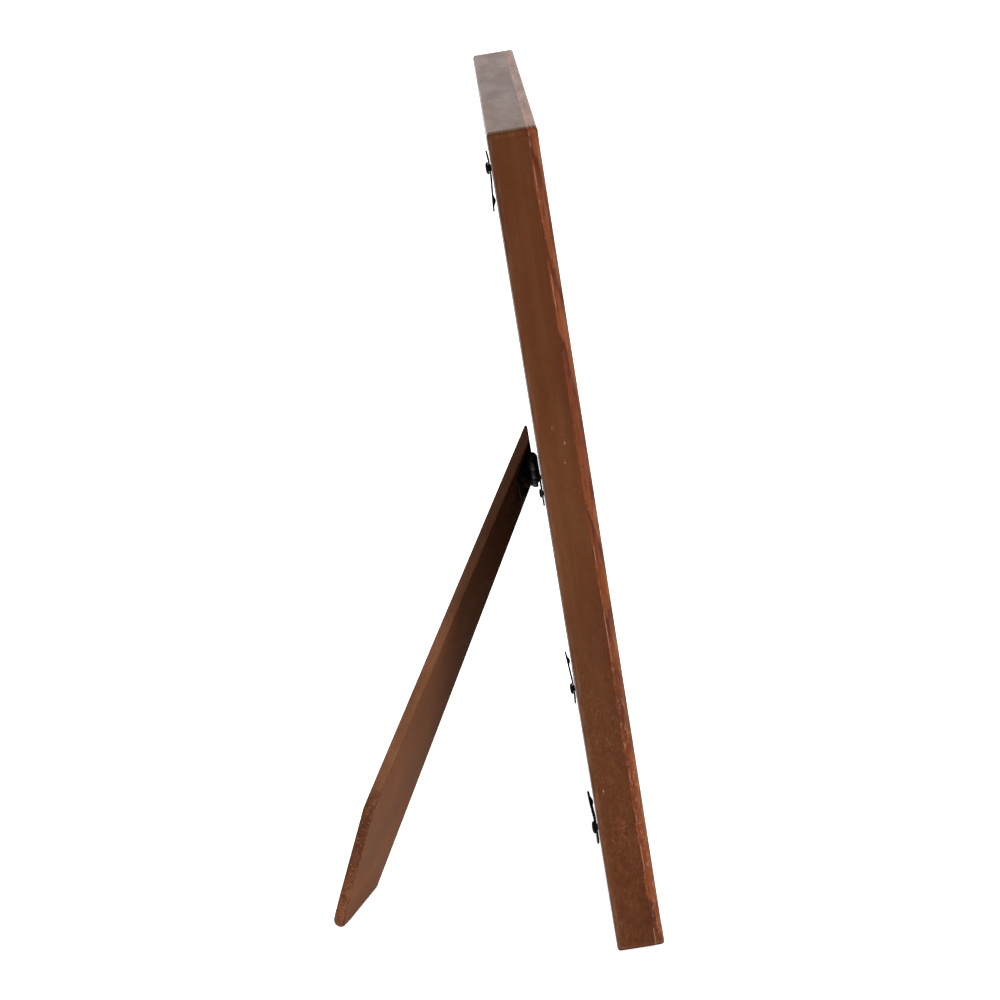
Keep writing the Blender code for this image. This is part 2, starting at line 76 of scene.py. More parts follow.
# Strut
TOP_ROUND = 0.0015
TOP_ARRIS = 0.0003
FOOT_ROUND = 0.0030
TIP_ROUND = 0.0050
EDGE_ROUND = 0.00045
EDGE_ROUGHNESS = 0.00011
FUZZ_PER_METRE = 900
CHIPS_PER_METRE = 260
TIP_WEAR = 0.0019
TIP_WEAR_REACH = 0.0140
OUTLINE_STEP = 0.0012
LONG_SIDE = 0.010

# Hinge
LEAF_THICKNESS = 0.0009
LEAF_CORNER = 0.0022
LEAF_EDGE = 0.00016
KNUCKLE_GAP = 0.0003
MIDDLE_KNUCKLE = 0.0100
ROLL = math.radians(300)
PIN_RADIUS = 0.0014
PIN_DOME = 0.0006
RIVET_CROWN = 0.0009

# Turn buttons, and the turn of each about its screw in degrees
BUTTON_TURNS = {"top": 180.0, "left": -18.0, "right": 3.0}
BUTTON_THICKNESS = 0.0008
BUTTON_EDGE = 0.00014
BUTTON_SEAT_END = 0.0030
BUTTON_SHORT_LIFT = 0.0004
BUTTON_DIMPLE_AT = 0.0142
BUTTON_DIMPLE_RADIUS = 0.0026
BUTTON_TIP_WIDTH = 0.8
BUTTON_END_ROUND = 0.0034
SCREW_SHANK = 0.0014
SCREW_SEAT = 0.00005

# Studio: the floor glows a little, like a light table, so that it stays white near the frame
FLOOR_GLOW = 0.60
FLOOR_SIZE = 12.0
FLOOR_LEVEL = -0.0001
WORLD_STRENGTH = 1.0
KEY_PLACE = (-2.38, -1.29, 1.35)
KEY_TARGET = (0, 0, 0.12)
KEY_SIZE = 0.6
KEY_POWER = 72
OVERHEAD_PLACE = (0.3, 0.2, 3.2)
OVERHEAD_SIZE = 3.0
OVERHEAD_POWER = 95

# Camera
CAMERA_PLACE = Vector((-1.1422, 0.0204, 0.4632))
CAMERA_LOOK = Vector((0.9645, -0.0230, -0.26255))
CAMERA_RIGHT = Vector((-0.0276, -0.9995, -0.0139))
CAMERA_LENS = 96.71


# ---------------------------------------------------------------- axes from the frame


def joint(name):
    return next(item for item in frame["joints"] if item["name"] == name)


def joint_axis(name):
    return Vector(joint(name)["axis"]).normalized()


def axes(right, back, origin):
    """Placement whose X runs right and whose Y runs towards the back."""
    place = Matrix((right, back, right.cross(back))).transposed().to_4x4()
    place.translation = origin
    return place


def spread(place, *nodes):
    """Lowest and highest corner of CAD nodes along the axes of a placement."""
    inverse = place.inverted()
    points = [inverse @ vert.co for node in nodes for vert in frame["nodes"][node].data.vertices]
    low = Vector([min(point[axis] for point in points) for axis in range(3)])
    high = Vector([max(point[axis] for point in points) for axis in range(3)])
    return low, high


def panel_placement():
    """Panel axes: origin in the middle of the lower back edge, Z up along the frame."""
    rails = [f"base_rail_{side}" for side in SIDES]
    level = axes(Vector((1, 0, 0)), joint_axis("button_turn_top"), Vector())
    low, high = spread(level, *rails)
    level.translation = level @ Vector(((low.x + high.x) / 2, high.y, low.z))
    return level


def hinge_placement():
    """Hinge axes: X along the pin, Y away from the board."""
    pin = -joint_axis("leg_fold")
    return axes(pin, joint_axis("button_turn_top"), Vector(joint("leg_fold")["pos_m"]))


PANEL = panel_placement()
HINGE = hinge_placement()
STRUT = HINGE @ Matrix.Rotation(math.radians(joint("leg_fold")["range_deg"][1]), 4, "X")
FRAME_WIDTH = 2 * spread(PANEL, "base_rail_top")[1].x
FRAME_HEIGHT = spread(PANEL, "base_rail_top")[1].z


def side_placement(side):
    """Axes of one side of the frame: X along it, Z from its outer edge inwards."""
    turn, middle = {
        "bottom": (0, (0, 0, 0)),
        "left": (90, (-FRAME_WIDTH / 2, 0, FRAME_HEIGHT / 2)),
        "top": (180, (0, 0, FRAME_HEIGHT)),
        "right": (-90, (FRAME_WIDTH / 2, 0, FRAME_HEIGHT / 2)),
    }[side]
    return PANEL @ Matrix.Translation(middle) @ Matrix.Rotation(math.radians(turn), 4, "Y")


# ---------------------------------------------------------------- materials


class Finish:
    """A material's node tree, built by short calls that each return an output socket."""

    def __init__(self, name, seed, place):
        """place is the placement whose axes the pattern follows."""
        self.material = bpy.data.materials.new(name)
        self.material.use_nodes = True
        self.nodes = self.material.node_tree.nodes
        self.links = self.material.node_tree.links
        self.shader = self.nodes["Principled BSDF"]
        self.seed = seed
        inputs = {"Vector": self.add("ShaderNodeTexCoord").outputs["Object"],
                  "Location": place.translation, "Rotation": place.to_euler()}
        self.coords = self.add("ShaderNodeMapping", inputs, vector_type="TEXTURE").outputs["Vector"]

    def add(self, kind, inputs=None, **settings):
        node = self.nodes.new(kind)
        for name, value in settings.items():
            setattr(node, name, value)
        for name, value in (inputs or {}).items():
            self.feed(node.inputs[name], value)
        return node

    def feed(self, socket, value):
        if isinstance(value, bpy.types.NodeSocket):
            self.links.new(value, socket)
        else:
            socket.default_value = value

    def stretched(self, scale):
        """Object coordinates times a scale, moved by the seed so that no two pieces match."""
        shift = (3.7 * self.seed, 1.9 * self.seed, 2.3 * self.seed)
        inputs = {"Vector": self.coords, "Scale": scale, "Location": shift}
        return self.add("ShaderNodeMapping", inputs).outputs["Vector"]

    def noise(self, scale, detail=2.0, roughness=0.5, distortion=0.0):
        """Noise with its own scale along each axis, in features per metre."""
        inputs = {"Vector": self.stretched(scale), "Scale": 1.0, "Detail": detail,
                  "Roughness": roughness, "Distortion": distortion}
        return self.add("ShaderNodeTexNoise", inputs).outputs["Fac"]

    def cells(self, scale):
        """Distance to the nearest of scattered points."""
        inputs = {"Vector": self.stretched(scale), "Scale": 1.0, "Randomness": 1.0}
        return self.add("ShaderNodeTexVoronoi", inputs).outputs["Distance"]

    def ramp(self, value, *stops):
        node = self.add("ShaderNodeValToRGB", {"Fac": value})
        band = node.color_ramp
        while len(band.elements) < len(stops):
            band.elements.new(0.5)
        for element, (place, colour) in zip(band.elements, stops):
            element.position = place
            element.color = (*colour, 1.0)
        return node.outputs["Color"]

    def step(self, value, low, high, start=0.0, end=1.0):
        """Smooth step from start to end as the value goes from low to high."""
        inputs = {"Value": value, "From Min": low, "From Max": high, "To Min": start, "To Max": end}
        node = self.add("ShaderNodeMapRange", inputs, interpolation_type="SMOOTHSTEP")
        return node.outputs["Result"]

    def calc(self, operation, first, second=0.0):
        node = self.add("ShaderNodeMath", operation=operation)
        self.feed(node.inputs[0], first)
        self.feed(node.inputs[1], second)
        return node.outputs["Value"]

    def times(self, first, second):
        return self.calc("MULTIPLY", first, second)

    def blend(self, share, first, second, kind="MIX"):
        node = self.add("ShaderNodeMix", data_type="RGBA", blend_type=kind)
        self.feed(node.inputs[0], share)
        self.feed(node.inputs[6], first if not isinstance(first, tuple) else (*first, 1.0))
        self.feed(node.inputs[7], second if not isinstance(second, tuple) else (*second, 1.0))
        return node.outputs[2]

    def coat(self, colour, mask, share, tone):
        """Lay a tone over the colour where the mask is, up to a share."""
        return self.blend(self.times(mask, share), colour, tone)

    def tint(self, colour, shade, share=1.0):
        """Multiply the colour by a shade."""
        return self.blend(share, colour, shade, "MULTIPLY")

    def axis(self, name):
        return self.add("ShaderNodeSeparateXYZ", {"Vector": self.coords}).outputs[name]

    def wear(self):
        """Wear painted along the edges of a mesh, broken up by noise."""
        painted = self.add("ShaderNodeAttribute", attribute_name="wear").outputs["Fac"]
        broken = self.step(self.noise((90, 700, 700), 3.0), 0.30, 0.70)
        return self.times(painted, broken)

    def joint_side(self):
        """1 on the core's side of the wandering stain line along the glued joint, 0 in front."""
        drift = self.calc("SUBTRACT", self.noise((85, 0, 0), 6.0, 0.72), 0.5)
        line = self.calc("ADD", self.axis("Y"), self.times(drift, JOINT_SWAY))
        return self.step(line, JOINT_DEPTH - JOINT_BLUR, JOINT_DEPTH + JOINT_BLUR)

    def joint_line(self, offset, width, seed):
        """Thin line along the joint that comes and goes."""
        away = self.calc("ABSOLUTE", self.calc("SUBTRACT", self.axis("Y"), JOINT_DEPTH + offset))
        gaps = self.noise((38 + seed, 0, 0), 5.0, 0.65)
        return self.times(self.step(away, width, 0.3 * width), self.step(gaps, 0.50, 0.57))

    def dust(self, share):
        """Warm film that shows at low angles."""
        self.shader.inputs["Sheen Weight"].default_value = share
        self.shader.inputs["Sheen Roughness"].default_value = 0.35
        self.shader.inputs["Sheen Tint"].default_value = (1.0, 0.78, 0.68, 1.0)

    def finish(self, colour, roughness, height, depth, specular=0.5):
        """Connect colour, roughness and height; depth is the height of the bumps in metres."""
        bump = self.add("ShaderNodeBump", {"Height": height, "Distance": depth, "Strength": 1.0})
        self.feed(self.shader.inputs["Base Color"], colour)
        self.feed(self.shader.inputs["Roughness"], roughness)
        self.feed(self.shader.inputs["Normal"], bump.outputs["Normal"])
        self.shader.inputs["Specular IOR Level"].default_value = specular
        return self.material


def core_colour(look):
    """Brown stain over a close-grained core: cloudy, and a little paler towards the back edge."""
    streaks = look.noise((7, 240, 240), 5.0, 0.6, 0.3)
    clouds = look.noise((24, 60, 60), 4.0, 0.6, 0.5)
    reddish = look.ramp(streaks, (0.30, (0.0400, 0.0098, 0.0020)), (0.70, (0.0490, 0.0132, 0.0031)))
    brown = look.ramp(streaks, (0.30, (0.0405, 0.0124, 0.0031)), (0.70, (0.0510, 0.0166, 0.0048)))
    colour = look.blend(look.step(clouds, 0.35, 0.65), reddish, brown)
    shade = look.noise((5, 25, 25), 2.0)
    shade = look.ramp(shade, (0.32, (0.84, 0.83, 0.82)), (0.68, (1.10, 1.11, 1.12)))
    colour = look.tint(colour, shade)
    paler = look.step(look.axis("Y"), -0.0075, -0.0005)
    return look.blend(look.times(paler, 0.14), colour, (0.0740, 0.0270, 0.0105))


def strip_colour(look):
    """Reddish open-grained wood with uneven growth rings that run out across the strip."""
    sway = look.times(look.noise((7, 34, 34), 3.0, 0.5), 0.0150)
    depth = look.calc("ADD", look.axis("Y"), look.times(look.axis("X"), 0.09))
    inset = look.calc("ADD", look.axis("Z"), look.calc("ADD", sway, 0.006 + 0.004 * look.seed))
    square = look.calc("ADD", look.times(depth, depth), look.times(inset, inset))
    radius = look.times(look.calc("SQRT", square), 330.0)
    uneven = look.times(look.noise((14, 160, 160), 4.0, 0.6), 2.4)
    rings = look.calc("FRACT", look.calc("ADD", radius, uneven))
    colour = look.ramp(rings, (0.00, (0.100, 0.0240, 0.0054)), (0.45, (0.086, 0.0184, 0.0038)),
                       (0.80, (0.040, 0.0074, 0.0018)), (0.90, (0.046, 0.0086, 0.0020)),
                       (1.00, (0.100, 0.0240, 0.0054)))
    flames = look.ramp(look.noise((18, 300, 300), 4.0, 0.62, 0.6), (0.30, (0.76, 0.70, 0.66)),
                       (0.50, (1.0, 1.0, 1.0)), (0.72, (1.20, 1.36, 1.50)))
    return look.tint(colour, flames, 0.9)


def fibres(look, scale, width):
    """Thin crooked light lines, as of fibres that the stain didn't take."""
    ridge = look.calc("ABSOLUTE", look.calc("SUBTRACT", look.noise(scale, 2.0, 0.5, 1.2), 0.5))
    return look.step(ridge, width, 0.3 * width)


def stained_core(name, seed, place):
    """Smooth brown core with nicks and worn edges; the strip's colour laps over the joint."""
    look = Finish(name, seed, place)
    colour = core_colour(look)
    colour = look.blend(look.joint_side(), (0.074, 0.0160, 0.0034), colour)
    colour = look.coat(colour, look.joint_line(-0.0001, 0.0005, 0), 0.8, (0.034, 0.0060, 0.0018))
    pores = look.step(look.noise((110, 2300, 2300), 2.0, 0.6), 0.60, 0.72)
    colour = look.coat(colour, pores, 0.30, (0.026, 0.0068, 0.0020))
    drift = look.noise((9, 60, 60), 2.0, 0.5)
    drift = look.ramp(drift, (0.36, (0.84, 0.80, 0.78)), (0.62, (1.08, 1.08, 1.10)))
    colour = look.tint(colour, drift)
    rubbed = look.step(look.axis("X"), 0.020, 0.130, 0.15, 1.0)
    mottle = look.ramp(look.noise((330, 460, 460), 3.0, 0.65), (0.34, (0.76, 0.74, 0.72)),
                       (0.52, (0.98, 0.98, 0.98)), (0.70, (1.24, 1.32, 1.42)))
    colour = look.blend(look.times(rubbed, 0.9), colour, look.tint(colour, mottle))
    sparse = look.step(look.noise((22, 40, 40), 3.0, 0.6), 0.36, 0.58, 0.1, 1.0)
    exposed = look.times(rubbed, look.step(look.axis("Z"), 0.001, 0.008, 1.0, 0.3))
    exposed = look.times(exposed, sparse)
    hairs = look.times(fibres(look, (210, 380, 380), 0.012), exposed)
    colour = look.coat(colour, hairs, 0.52, (0.165, 0.086, 0.046))
    lucky = look.step(look.noise((60, 160, 160), 2.0, 0.5), 0.64, 0.69)
    nicks = look.times(look.step(look.cells((110, 420, 420)), 0.110, 0.060), lucky)
    colour = look.coat(colour, nicks, 0.75, (0.260, 0.165, 0.110))
    dents = look.times(look.step(look.cells((330, 480, 480)), 0.080, 0.040), sparse)
    colour = look.coat(colour, dents, 0.80, (0.016, 0.0042, 0.0015))
    colour = look.coat(colour, look.wear(), 0.22, (0.150, 0.074, 0.044))
    rough = look.step(look.noise((26, 90, 90), 3.0, 0.6), 0.25, 0.75, 0.27, 0.38)
    grain = look.calc("SUBTRACT", look.noise((150, 1500, 1500), 3.0, 0.6), look.times(pores, 0.5))
    look.dust(0.055)
    return look.finish(colour, rough, grain, 0.00005, 0.045)


def grained_face(name, seed, place):
    """Reddish front strip; the brown core's stain laps over the joint behind it."""
    look = Finish(name, seed, place)
    colour = strip_colour(look)
    pores = look.step(look.noise((160, 1500, 1500), 3.0, 0.65), 0.55, 0.66)
    colour = look.coat(colour, pores, 0.60, (0.024, 0.0050, 0.0015))
    rubbed = look.step(look.axis("X"), 0.0, 0.090, 0.10, 1.0)
    pale = look.step(look.noise((420, 1000, 1000), 3.0, 0.7), 0.54, 0.66)
    colour = look.coat(colour, pale, look.times(rubbed, 0.42), (0.230, 0.110, 0.066))
    holes = look.step(look.noise((520, 900, 900), 3.0, 0.7), 0.57, 0.66)
    colour = look.coat(colour, holes, look.times(rubbed, 0.70), (0.030, 0.0056, 0.0020))
    colour = look.blend(look.joint_side(), colour, (0.0450, 0.0130, 0.0032))
    colour = look.coat(colour, look.joint_line(-0.0001, 0.0005, 0), 0.8, (0.034, 0.0060, 0.0018))
    colour = look.coat(colour, look.joint_line(-0.0006, 0.0003, 7), 0.45, (0.230, 0.120, 0.075))
    colour = look.coat(colour, look.wear(), 0.25, (0.190, 0.085, 0.050))
    rough = look.step(look.noise((30, 200, 200)), 0.25, 0.75, 0.27, 0.38)
    grain = look.calc("SUBTRACT", look.noise((120, 1400, 1400), 3.0, 0.6), pores)
    look.dust(0.09)
    return look.finish(colour, rough, grain, 0.00006, 0.07)


def board_face(name, seed, place):
    """Fibreboard with a cloudy stain, painted shade towards the hinge and on the outer face, torn along
    the foot.
    """
    look = Finish(name, seed, place)
    clouds = look.noise((35, 90, 22), 4.0, 0.6, 0.5)
    colour = look.ramp(clouds, (0.28, (0.078, 0.0265, 0.0096)), (0.52, (0.103, 0.0380, 0.0150)),
                       (0.76, (0.127, 0.0500, 0.0215)))
    flecks = look.step(look.noise((900, 900, 260), 3.0, 0.7), 0.60, 0.76)
    colour = look.coat(colour, flecks, 0.30, (0.046, 0.0140, 0.0055))
    # painted shade: the board darkens towards the hinge, where the frame shades it
    painted_shade = look.step(look.axis("Z"), -0.110, 0.000, 0.0, 0.64)
    colour = look.blend(painted_shade, colour, (0.018, 0.0056, 0.0024))
    # painted shade: the outer face is darker, to offset the overhead light that falls on it
    outer = look.step(look.axis("Y"), 0.0050, 0.0070, 0.0, 0.35)
    colour = look.blend(outer, colour, (0.036, 0.0130, 0.0056))
    scuffs = look.step(look.cells((260, 260, 120)), 0.070, 0.035)
    colour = look.coat(colour, scuffs, 0.30, (0.230, 0.115, 0.065))
    edge = look.wear()
    tatters = look.times(look.calc("SUBTRACT", look.noise((420, 420, 330), 4.0, 0.65), 0.5), 2.4)
    torn = look.step(look.calc("ADD", edge, tatters), 0.34, 0.44)
    torn = look.times(torn, look.step(look.axis("Z"), -0.145, -0.170, 0.12, 1.0))
    speckle = look.step(look.noise((900, 900, 800), 3.0, 0.7), 0.46, 0.58)
    bare = look.times(look.step(look.axis("Z"), -0.204, -0.217), speckle)
    raw = look.ramp(look.noise((520, 520, 420), 3.0, 0.65), (0.34, (0.034, 0.0100, 0.0036)),
                    (0.66, (0.072, 0.0250, 0.0105)))
    colour = look.blend(look.calc("MAXIMUM", torn, look.times(bare, 0.7)), colour, raw)
    rough = look.step(clouds, 0.25, 0.75, 0.60, 0.74)
    return look.finish(colour, rough, look.noise((1100, 1100, 700), 3.0, 0.6), 0.00005, 0.02)


def board_edge(name, seed, place):
    """Fibreboard edge: smooth with a stain along the sides and painted shade towards the hinge, raw, red
    and pitted at the foot.
    """
    look = Finish(name, seed, place)
    body = look.noise((120, 120, 45), 4.0, 0.62)
    ragged = look.times(look.noise((300, 300, 300), 3.0, 0.6), 0.020)
    ragged = look.calc("ADD", look.axis("Z"), ragged)
    foot = look.step(ragged, -0.152, -0.168)
    stain_and_shade = look.ramp(body, (0.30, (0.068, 0.0250, 0.0108)), (0.52, (0.092, 0.0370, 0.0168)),
                        (0.76, (0.122, 0.0530, 0.0262)))
    raw = look.ramp(body, (0.32, (0.036, 0.0105, 0.0038)), (0.52, (0.056, 0.0172, 0.0066)),
                    (0.72, (0.090, 0.0325, 0.0142)))
    end = look.ramp(body, (0.32, (0.066, 0.0210, 0.0082)), (0.52, (0.098, 0.0340, 0.0140)),
                    (0.72, (0.134, 0.0540, 0.0245)))
    raw = look.blend(look.step(look.axis("Z"), -0.185, -0.205), raw, end)
    # painted shade: the edge darkens towards the hinge, where the frame shades it
    painted_shade = look.step(look.axis("Z"), -0.105, -0.010, 0.0, 0.66)
    stain_and_shade = look.blend(painted_shade, stain_and_shade, (0.022, 0.0070, 0.0028))
    colour = look.blend(foot, stain_and_shade, raw)
    share = look.calc("ADD", 0.12, look.times(foot, 0.63))
    pits = look.step(look.noise((1350, 1350, 1100), 3.0, 0.7), 0.50, 0.62)
    colour = look.coat(colour, pits, share, (0.040, 0.0075, 0.0028))
    specks = look.step(look.cells((760, 760, 520)), 0.20, 0.08)
    colour = look.coat(colour, specks, look.times(share, 0.75), (0.270, 0.140, 0.080))
    rough = look.step(body, 0.25, 0.75, 0.62, 0.80)
    rise = look.calc("SUBTRACT", look.noise((1300, 1300, 900), 4.0, 0.7), pits)
    return look.finish(colour, rough, look.times(rise, share), 0.00022, 0.06)


def hardboard(name, seed, place):
    """Brown hardboard with felted fibres, for the back panel."""
    look = Finish(name, seed, place)
    felt = look.noise((420, 420, 420), 5.0, 0.7, 0.8)
    clouds = look.noise((16, 16, 16), 3.0, 0.55)
    colour = look.ramp(felt, (0.34, (0.048, 0.0185, 0.0080)), (0.52, (0.072, 0.0290, 0.0135)),
                       (0.70, (0.104, 0.0450, 0.0225)))
    shade = look.ramp(clouds, (0.30, (0.84, 0.82, 0.80)), (0.70, (1.08, 1.09, 1.10)))
    colour = look.tint(colour, shade)
    threads = look.step(look.noise((2600, 300, 700), 2.0, 0.6, 1.2), 0.62, 0.72)
    colour = look.coat(colour, threads, 0.35, (0.170, 0.090, 0.050))
    colour = look.coat(colour, look.wear(), 0.30, (0.160, 0.080, 0.044))
    rough = look.step(felt, 0.30, 0.70, 0.62, 0.74)
    return look.finish(colour, rough, felt, 0.00010, 0.10)


def black_steel(name, seed, place):
    """Black lacquer over steel, thin and brownish where it rubs."""
    look = Finish(name, seed, place)
    film = look.noise((500, 500, 500), 3.0, 0.6)
    colour = look.ramp(film, (0.30, (0.0020, 0.0018, 0.0016)), (0.70, (0.0040, 0.0037, 0.0033)))
    colour = look.coat(colour, look.wear(), 0.20, (0.028, 0.022, 0.017))
    dust = look.step(look.noise((2400, 2400, 2400), 2.0, 0.6), 0.64, 0.74)
    colour = look.coat(colour, dust, 0.12, (0.080, 0.070, 0.060))
    rough = look.step(film, 0.25, 0.75, 0.38, 0.52)
    return look.finish(colour, rough, look.noise((1500, 1500, 1500), 3.0, 0.6), 0.00004, 0.022)


def nail_steel(name, seed, place):
    """Dull steel with brown tarnish."""
    look = Finish(name, seed, place)
    spots = look.noise((900, 900, 900), 3.0, 0.65)
    colour = look.ramp(spots, (0.35, (0.26, 0.25, 0.24)), (0.60, (0.18, 0.16, 0.14)),
                       (0.75, (0.09, 0.055, 0.035)))
    rough = look.step(spots, 0.30, 0.70, 0.34, 0.60)
    look.shader.inputs["Metallic"].default_value = 0.9
    return look.finish(colour, rough, spots, 0.00004)


def cream_paper(name, seed, place):
    """Uncoated cream card."""
    look = Finish(name, seed, place)
    pulp = look.noise((700, 700, 700), 4.0, 0.7)
    tone = look.noise((12, 12, 12), 2.0)
    colour = look.ramp(tone, (0.30, (0.640, 0.595, 0.500)), (0.70, (0.710, 0.672, 0.585)))
    flecks = look.step(pulp, 0.66, 0.76)
    colour = look.coat(colour, flecks, 0.25, (0.560, 0.500, 0.400))
    return look.finish(colour, look.step(pulp, 0.3, 0.7, 0.82, 0.94), pulp, 0.00004)


def float_glass(name, seed, place):
    """Clear glass with a little green in it and faint smears."""
    look = Finish(name, seed, place)
    smears = look.noise((18, 18, 60), 3.0, 0.6, 0.8)
    colour = look.ramp(smears, (0.30, (0.975, 0.990, 0.980)), (0.70, (0.985, 0.995, 0.990)))
    look.shader.inputs["IOR"].default_value = 1.52
    look.shader.inputs["Transmission Weight"].default_value = 1.0
    return look.finish(colour, look.step(smears, 0.35, 0.75, 0.015, 0.07), smears, 0.00001)


def pale_floor():
    """Matt white studio floor with a barely visible texture."""
    look = Finish("studio_floor", 1, Matrix())
    tone = look.noise((3, 3, 3), 3.0)
    colour = look.ramp(tone, (0.30, (0.900, 0.900, 0.900)), (0.70, (0.925, 0.925, 0.925)))
    look.feed(look.shader.inputs["Emission Color"], colour)
    look.shader.inputs["Emission Strength"].default_value = FLOOR_GLOW
    return look.finish(colour, look.step(tone, 0.3, 0.7, 0.80, 0.90), tone, 0.0001, 0.0)


# ---------------------------------------------------------------- mesh helpers


def new_shape():
    """Empty bmesh and its layer of wear."""
    shape = bmesh.new()
    return shape, shape.verts.layers.float.new("wear")


def finished_mesh(name, shape, sharp=32):
    """Turn a bmesh into a mesh with its faces pointing out, smooth but for its sharp edges."""
    bmesh.ops.recalc_face_normals(shape, faces=shape.faces)
    mesh = bpy.data.meshes.new(name)
    shape.to_mesh(mesh)
    shape.free()
    mesh.shade_smooth()
    mesh.set_sharp_from_angle(angle=math.radians(sharp))
    return mesh


def new_object(name, data):
    """Object in the scene that shows the data."""
    thing = bpy.data.objects.new(name, data)
    bpy.context.scene.collection.objects.link(thing)
    return thing


def add_piece(name, mesh, place, body, nodes, slot, *materials):
    """Show a mesh, built in the axes of a placement, in place of CAD nodes on their body."""
    mesh.transform(place)
    piece = new_object(name, mesh)
    for material in materials:
        mesh.materials.append(material)
    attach(piece, body)
    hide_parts(*nodes)
    return piece


def rounded(corners, steps=5, reach=0.0):
    """Closed outline of (first, second, wear) points from (first, second, radius) corners.

    A corner with a radius becomes an arc with full wear, or with the wear given as its fourth
    number; with a reach, the wear ends that far from the arc.
    """
    outline = []
    spots = [Vector(corner[:2]) for corner in corners]
    for index, (spot, corner) in enumerate(zip(spots, corners)):
        radius = corner[2]
        worn = corner[3] if len(corner) > 3 else 1.0
        if radius == 0:
            outline.append((spot.x, spot.y, 0.0))
            continue
        before = (spots[index - 1] - spot).normalized()
        after = (spots[(index + 1) % len(spots)] - spot).normalized()
        half = before.angle(after) / 2
        centre = spot + (before + after).normalized() * (radius / math.sin(half))
        length = radius / math.tan(half)
        first = spot + before * length - centre
        last = spot + after * length - centre
        start = math.atan2(first.y, first.x)
        sweep = math.remainder(math.atan2(last.y, last.x) - start, 2 * math.pi)
        if reach:
            outline.append((*(spot + before * (length + reach)), 0.0))
        for step in range(steps + 1):
            turn = start + sweep * step / steps
            point = centre + radius * Vector((math.cos(turn), math.sin(turn)))
            outline.append((*point, worn))
        if reach:
            outline.append((*(spot + after * (length + reach)), 0.0))
    return outline


def inward_normals(points):
    """Unit normals that point into a closed outline."""
    area = sum(a.x * b.y - a.y * b.x for a, b in zip(points, points[1:] + points[:1]))
    side = math.copysign(1, area)
    normals = []
    for index, point in enumerate(points):
        along = (points[(index + 1) % len(points)] - points[index - 1]).normalized()
        normals.append(side * Vector((-along.y, along.x)))
    return normals


def band(shape, first, second):
    """Faces between two closed rings of points."""
    count = len(first)
    for index in range(count):
        following = (index + 1) % count
        corners = [first[index], first[following], second[following], second[index]]
        shape.faces.new(corners)


def close(shape, rings):
    """Closed body through closed rings of points."""
    for first, second in zip(rings, rings[1:]):
        band(shape, first, second)
    shape.faces.new(rings[0])
    shape.faces.new(rings[-1])


def turned(profile, segments=40):
    """Bmesh of a body turned about Z from (radius, height, wear) points that begin at its top."""
    shape, wear = new_shape()
    rings = []
    for radius, height, worn in profile:
        count = segments if radius > 0 else 1
        ring = []
        for step in range(count):
            turn = 2 * math.pi * step / segments
            vert = shape.verts.new((radius * math.cos(turn), radius * math.sin(turn), height))
            vert[wear] = worn
            ring.append(vert)
        rings.append(ring)
    for upper, lower in zip(rings, rings[1:]):
        for step in range(segments):
            following = (step + 1) % segments
            corners = [upper[step % len(upper)], upper[following % len(upper)],
                       lower[following % len(lower)], lower[step % len(lower)]]
            shape.faces.new(list(dict.fromkeys(corners)))
    return shape


# ---------------------------------------------------------------- frame mouldings


def swept_side(name, outline, half):
    """Outline of (depth, inset, wear) points swept between two mitres, round at the corners."""
    shape, wear = new_shape()
    runs = [-1.0, -NEAR_MITRE, *[step / 8 for step in range(-7, 8)], NEAR_MITRE, 1.0]
    turns = [math.radians(45) * step / 5 for step in range(1, 6)]
    stations = [(-1, turn) for turn in reversed(turns)]
    stations += [(run, None) for run in runs]
    stations += [(1, turn) for turn in turns]
    rings = []
    for run, turn in stations:
        ring = []
        for depth, inset, worn in outline:
            beyond = max(CORNER_ROUND - inset, 0)
            along = run * (half - max(inset, CORNER_ROUND))
            height = inset
            if turn is not None:
                along += run * beyond * math.sin(turn)
                height += beyond * (1 - math.cos(turn))
                worn = max(worn, CORNER_WEAR * beyond / CORNER_ROUND)
            vert = shape.verts.new((along, depth, height))
            vert[wear] = worn
            ring.append(vert)
        rings.append(ring)
    close(shape, rings)
    bmesh.ops.remove_doubles(shape, verts=shape.verts, dist=1e-7)
    ends = [face for face in shape.faces if len(face.verts) > 4]
    edges = {edge for face in ends for edge in face.edges}
    bmesh.ops.bevel(shape, geom=list(edges), offset=ARRIS / 2, segments=2, affect="EDGES")
    return finished_mesh(name, shape)


def build_sides():
    for index, side in enumerate(SIDES):
        place = side_placement(side)
        node = f"base_rail_{side}"
        low, high = spread(place, node)
        half = high.x
        front = low.y
        core = rounded([(0, 0, BACK_ROUND), (front, 0, JOINT_ARRIS, 0), (front, high.z, JOINT_ARRIS, 0),
                        (-REBATE_DEPTH, high.z, ARRIS), (-REBATE_DEPTH, REBATE_WALL, 0),
                        (0, REBATE_WALL, ARRIS)], reach=WEAR_REACH)
        name = f"stained_rail_{side}"
        add_piece(name, swept_side(name, core, half), place, "frame", [node], "base_wood",
                  stained_core(name, index + 1, place))
        node = f"face_strip_{side}"
        low, high = spread(place, node)
        back = front + JOINT_OVERLAP
        face = rounded([(back, 0, JOINT_ARRIS, 0), (low.y, 0, FRONT_ROUND), (low.y, high.z, SIGHT_ROUND),
                        (back, high.z, JOINT_ARRIS, 0)], reach=WEAR_REACH)
        name = f"grained_strip_{side}"
        add_piece(name, swept_side(name, face, half), place, "frame", [node], "face_wood",
                  grained_face(name, index + 1, place))


